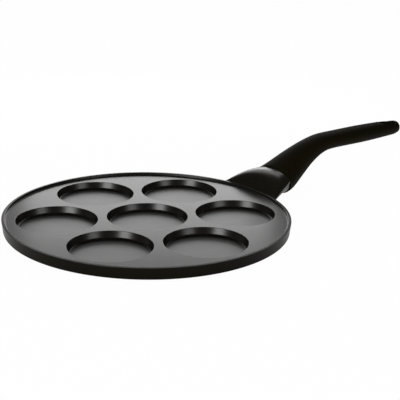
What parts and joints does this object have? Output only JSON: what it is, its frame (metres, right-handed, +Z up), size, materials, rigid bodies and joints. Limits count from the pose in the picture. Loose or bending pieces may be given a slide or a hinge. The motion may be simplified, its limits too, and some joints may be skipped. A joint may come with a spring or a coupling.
{
  "type": "pancake pan",
  "caption": "Flat round pan with shallow round wells for small pancakes, a low rim, a hooded flame guard and a raised S-shaped soft grip with a hanging hole.",
  "frame": {"origin": "centre of the pan's round base, on the face that stands on the hob", "axes": "+X from the pan's centre along the handle, +Z up out of the wells"},
  "size_m": [0.4732, 0.26, 0.0511],
  "materials": {
    "coated_casting": "cast aluminium, satin dark grey non-stick coating inside, black coating outside, bare turned base",
    "guard_plastic": "moulded black heat-resistant phenolic, semi-gloss",
    "soft_grip": "matte black soft-touch silicone rubber",
    "core_plastic": "moulded black glass-filled nylon",
    "insert_steel": "bare stainless steel",
    "screw_steel": "zinc-plated steel",
    "washer_steel": "zinc-plated steel"
  },
  "bodies": {
    "root": {"pan_body": "coated_casting", "flame_guard": "guard_plastic", "grip_cover": "soft_grip", "handle_core": "core_plastic", "thread_insert": "insert_steel", "handle_screw": "screw_steel", "spring_washer": "washer_steel", "flat_washer": "washer_steel"}
  },
  "joints": []
}
